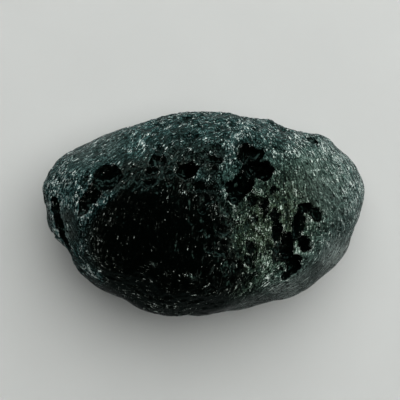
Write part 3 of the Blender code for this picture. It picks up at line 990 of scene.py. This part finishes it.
def floor_paint(colour):
    """Pale matt paint for the floor."""
    material = bpy.data.materials.new("pale_floor")
    material.use_nodes = True
    nodes = Nodes(material.node_tree)
    shader = material.node_tree.nodes["Principled BSDF"]
    place = nodes.add("ShaderNodeTexCoord").outputs["Object"]
    mottle = noise_at(nodes, place, FLOOR_MOTTLE_SCALE, 3.0)
    darker = [channel * FLOOR_DARKER for channel in colour]
    paler = [min(channel * FLOOR_PALER, 1.0) for channel in colour]
    nodes.wire(nodes.mix(mottle, darker, paler), shader.inputs["Base Color"])
    shader.inputs["Roughness"].default_value = FLOOR_ROUGHNESS
    return material


# ---- Stage --------------------------------------------------------------------------


def lamp(name, kind, azimuth, elevation):
    """A light aimed at the lump."""
    light = bpy.data.lights.new(name, kind)
    holder = bpy.data.objects.new(name, light)
    outward = Vector(facing(azimuth, 90 - elevation))
    holder.location = Vector((0, 0, RIM_HEIGHT)) + outward * LAMP_DISTANCE
    holder.rotation_euler = outward.to_track_quat("Z", "Y").to_euler()
    bpy.context.scene.collection.objects.link(holder)
    return holder


def window(name, azimuth, elevation, width, height, glow, tint):
    """A pale window that the glass mirrors and the floor does not feel."""
    pane = lamp(name, "AREA", azimuth, elevation)
    pane.data.shape = "RECTANGLE"
    pane.data.size = width
    pane.data.size_y = height
    pane.data.color = tint
    pane.data.energy = glow * math.pi * width * height
    pane.visible_diffuse = False


def skylight(strength):
    """Wide soft daylight from the back right for matt surfaces, a little weaker farther off."""
    sky = lamp("skylight", "AREA", SKYLIGHT_AZIMUTH, SKYLIGHT_ELEVATION)
    sky.data.shape = "DISK"
    sky.data.size = 2 * SKYLIGHT_RADIUS
    sky.data.energy = strength * math.pi * (SKYLIGHT_RADIUS**2 + LAMP_DISTANCE**2)
    sky.data.color = SKYLIGHT_TINT
    sky.visible_glossy = False


def room_light(room, glow):
    """A dim room above, and below the glow of a floor that lies in shade towards the front left."""
    world = bpy.data.worlds.new("studio_room")
    world.use_nodes = True
    bpy.context.scene.world = world
    nodes = Nodes(world.node_tree)
    direction = nodes.add("ShaderNodeTexCoord").outputs["Generated"]
    height = nodes.add("ShaderNodeSeparateXYZ", {"Vector": direction}).outputs["Z"]
    values = {0: direction, 1: facing(FLOOR_LIT_FROM, 90)}
    across = nodes.add("ShaderNodeVectorMath", values, operation="DOT_PRODUCT").outputs["Value"]
    shade = [channel * FLOOR_SHADE for channel in glow]
    floor = nodes.mix(nodes.ramp(across, -0.6, 0.7), shade, glow)
    below = nodes.math("SUBTRACT", 1.0, nodes.ramp(height, -0.12, 0.06))
    background = world.node_tree.nodes["Background"]
    nodes.wire(nodes.mix(below, room, floor), background.inputs["Color"])


def sweep(material):
    """Pale floor that curves up into a round wall well outside the lights' reach."""
    ring, bend, wall = LENGTH * 10, LENGTH * 4, LENGTH * 8
    rings, bands = 6, 12
    profile = [(ring * step / rings, 0.0) for step in range(rings + 1)]
    for step in range(1, bands + 1):
        turn = math.radians(90 * step / bands)
        profile.append((ring + bend * math.sin(turn), bend * (1 - math.cos(turn))))
    profile.append((ring + bend, bend + wall))
    sheet = bmesh.new()
    corners = [sheet.verts.new((x, 0, z)) for x, z in profile]
    edges = [sheet.edges.new(pair) for pair in zip(corners, corners[1:])]
    bmesh.ops.spin(
        sheet, geom=corners + edges, cent=(0, 0, 0), axis=(0, 0, 1), angle=math.tau, steps=96,
        use_merge=True,
    )
    bmesh.ops.remove_doubles(sheet, verts=sheet.verts, dist=MM)
    mesh = bpy.data.meshes.new("studio_floor")
    sheet.to_mesh(mesh)
    sheet.free()
    mesh.shade_smooth()
    mesh.materials.append(material)
    floor = bpy.data.objects.new("studio_floor", mesh)
    floor.visible_glossy = False
    floor.visible_shadow = False
    bpy.context.scene.collection.objects.link(floor)
    return floor


# ---- Operators ----------------------------------------------------------------------


class TEKTITE_OT_build_lump(bpy.types.Operator):
    """Build the pitted lump in place of the plain solid"""

    bl_idname = "tektite.build_lump"
    bl_label = "Build lump"

    def execute(self, context):
        lump = bpy.data.objects.new("tektite_lump", build_lump(context.scene.tektite_skin))
        context.scene.collection.objects.link(lump)
        lump.data.materials.append(tektite_glass(context.scene.tektite_glass))
        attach(lump, "root")
        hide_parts("tektite")
        return {"FINISHED"}


class TEKTITE_OT_set_stage(bpy.types.Operator):
    """Lay the pale floor and set the lights and the camera straight above the lump"""

    bl_idname = "tektite.set_stage"
    bl_label = "Set stage"

    def execute(self, context):
        settings = context.scene.tektite_stage
        scene = context.scene
        sweep(floor_paint(settings.floor))

        for name, (azimuth, elevation, width, height, share, tint) in WINDOWS.items():
            window(name, azimuth, elevation, width, height, settings.windows * share, tint)
        skylight(settings.skylight)
        room_light(settings.room, settings.glow)

        lens = bpy.data.cameras.new("overhead_camera")
        lens.sensor_width = 36.0
        lens.lens = lens.sensor_width * settings.camera_distance / settings.view_width
        lens.clip_start = 0.01
        camera = bpy.data.objects.new("overhead_camera", lens)
        camera.location = (*settings.view_centre, RIM_HEIGHT + settings.camera_distance)
        scene.collection.objects.link(camera)
        scene.camera = camera
        scene.view_settings.view_transform = "Standard"
        return {"FINISHED"}


class TEKTITE_PT_panel(bpy.types.Panel):
    """Sizes, colours and buttons for the specimen"""

    bl_label = "Tektite"
    bl_idname = "TEKTITE_PT_panel"
    bl_space_type = "VIEW_3D"
    bl_region_type = "UI"
    bl_category = "Tektite"

    def draw(self, context):
        for settings in (
            context.scene.tektite_skin, context.scene.tektite_glass, context.scene.tektite_stage
        ):
            box = self.layout.box()
            for name in settings.__annotations__:
                box.prop(settings, name)
        self.layout.operator("tektite.build_lump")
        self.layout.operator("tektite.set_stage")


CLASSES = (
    TektiteSkin, TektiteGlass, TektiteStage,
    TEKTITE_OT_build_lump, TEKTITE_OT_set_stage, TEKTITE_PT_panel,
)


def register():
    """Adds the settings, the buttons and the panel."""
    for item in CLASSES:
        bpy.utils.register_class(item)
    bpy.types.Scene.tektite_skin = PointerProperty(type=TektiteSkin)
    bpy.types.Scene.tektite_glass = PointerProperty(type=TektiteGlass)
    bpy.types.Scene.tektite_stage = PointerProperty(type=TektiteStage)


def unregister():
    """Takes the settings, the buttons and the panel away again."""
    del bpy.types.Scene.tektite_stage
    del bpy.types.Scene.tektite_glass
    del bpy.types.Scene.tektite_skin
    for item in reversed(CLASSES):
        bpy.utils.unregister_class(item)


def main():
    """Builds the lump and the stage."""
    register()
    bpy.ops.tektite.build_lump()
    bpy.ops.tektite.set_stage()


if __name__ == "__main__":
    main()
